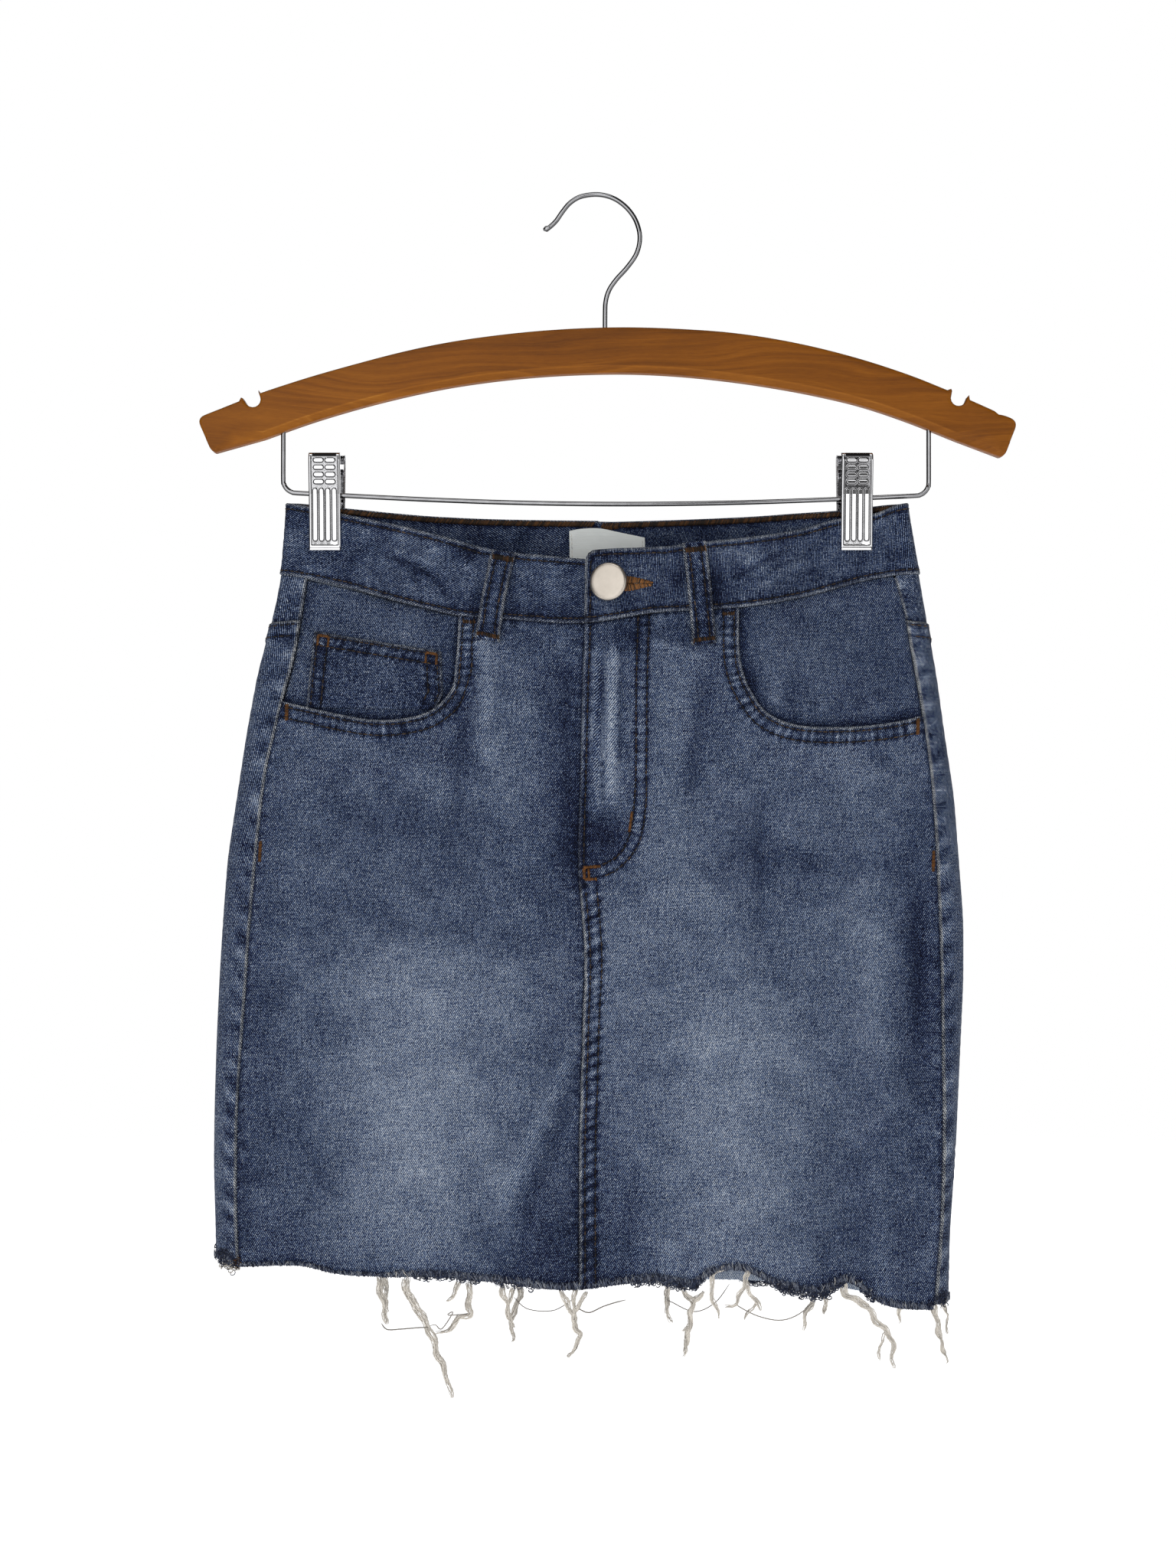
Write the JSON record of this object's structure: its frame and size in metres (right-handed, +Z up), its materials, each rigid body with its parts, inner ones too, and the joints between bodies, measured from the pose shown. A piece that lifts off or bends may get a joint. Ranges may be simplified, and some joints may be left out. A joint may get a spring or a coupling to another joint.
{
  "type": "denim skirt on a clip hanger",
  "caption": "Short raw-hemmed denim skirt hanging by its waistband from a wooden hanger with a sagging clip bar.",
  "frame": {"origin": "inside of the hook's crown, where a rail carries the hanger", "axes": "+X to the right of someone facing the front of the skirt, +Y from the front to the back, +Z up"},
  "size_m": [0.4396, 0.0553, 0.6446],
  "materials": {
    "denim": "washed indigo right-hand twill, faded on the thighs, dark in the folds",
    "denim_waistband": "the same denim, darker and less faded, with worn lighter edges",
    "denim_facing": "the same denim, less faded, behind the pocket openings and the fly",
    "warp_thread": "undyed cream weft threads hanging from the raw hem",
    "label_satin": "bare white satin ribbon",
    "zip_tape": "dark woven tape with a closed coil",
    "button_metal": "brushed nickel with a faint warm tone",
    "wood": "varnished golden-brown beech with fine grain",
    "chrome": "bright plated steel wire and pressed sheet"
  },
  "bodies": {
    "root": {"back_left": "denim", "back_pocket_left": "denim", "back_pocket_right": "denim", "back_right": "denim", "belt_loop_back_centre": "denim_waistband", "belt_loop_back_left": "denim_waistband", "belt_loop_back_right": "denim_waistband", "belt_loop_front_left": "denim_waistband", "belt_loop_front_right": "denim_waistband", "button": "button_metal", "clip_bar": "chrome", "clip_left_back": "chrome", "clip_left_front": "chrome", "clip_left_spring": "chrome", "clip_right_back": "chrome", "clip_right_front": "chrome", "clip_right_spring": "chrome", "coin_pocket": "denim_facing", "fly_shield": "denim_facing", "fly_zip": "zip_tape", "front_left": "denim", "front_right": "denim", "hanger_arm": "wood", "hanger_hook": "chrome", "hem_fray_back": "warp_thread", "hem_fray_front": "warp_thread", "label": "label_satin", "pocket_facing_left": "denim_facing", "pocket_facing_right": "denim_facing", "waistband_left": "denim_waistband", "waistband_right": "denim_waistband", "yoke_left": "denim", "yoke_right": "denim"}
  },
  "joints": []
}
